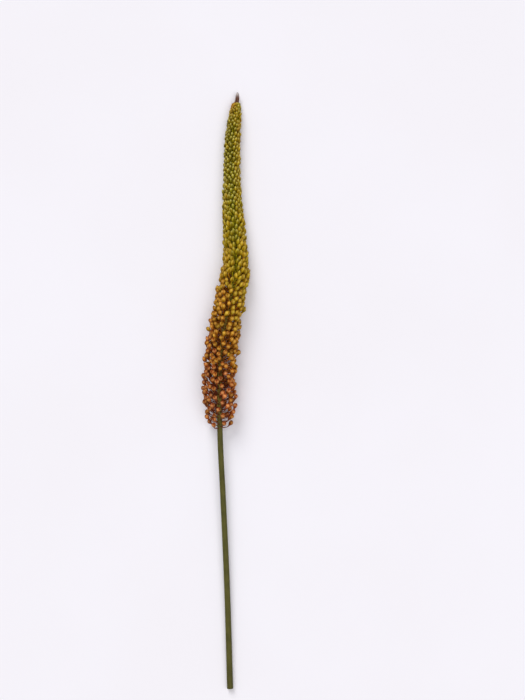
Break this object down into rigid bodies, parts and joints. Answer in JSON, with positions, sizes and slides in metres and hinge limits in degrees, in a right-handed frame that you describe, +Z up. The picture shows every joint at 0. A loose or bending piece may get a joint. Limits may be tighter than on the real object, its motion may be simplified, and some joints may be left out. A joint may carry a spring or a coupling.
{
  "type": "foxtail lily stem",
  "caption": "Cut foxtail lily stem in bud, lying down: a bare green stalk, then a long spike of closed buds from open orange below to crowded green at a tufted tip.",
  "frame": {"origin": "on the surface the stem lies on, under the middle of its length and width", "axes": "+Y along the stem from the cut end towards the tip, +Z up from the surface, +X to the right seen from above with the tip away from the viewer"},
  "size_m": [0.0905, 1.1053, 0.059],
  "materials": {
    "stalk_green": "smooth green stalk with faint lengthwise streaks",
    "bud_orange": "matt waxy terracotta orange buds",
    "bud_gold": "matt waxy gold and olive buds",
    "bud_green": "matt waxy yellow-green buds with darker ribs",
    "bract_purple": "dry purple-brown bracts"
  },
  "bodies": {
    "root": {"flower_stalk": "stalk_green", "buds_lower": "bud_orange", "buds_middle": "bud_gold", "buds_upper": "bud_green", "tip_bracts": "bract_purple"}
  },
  "joints": []
}
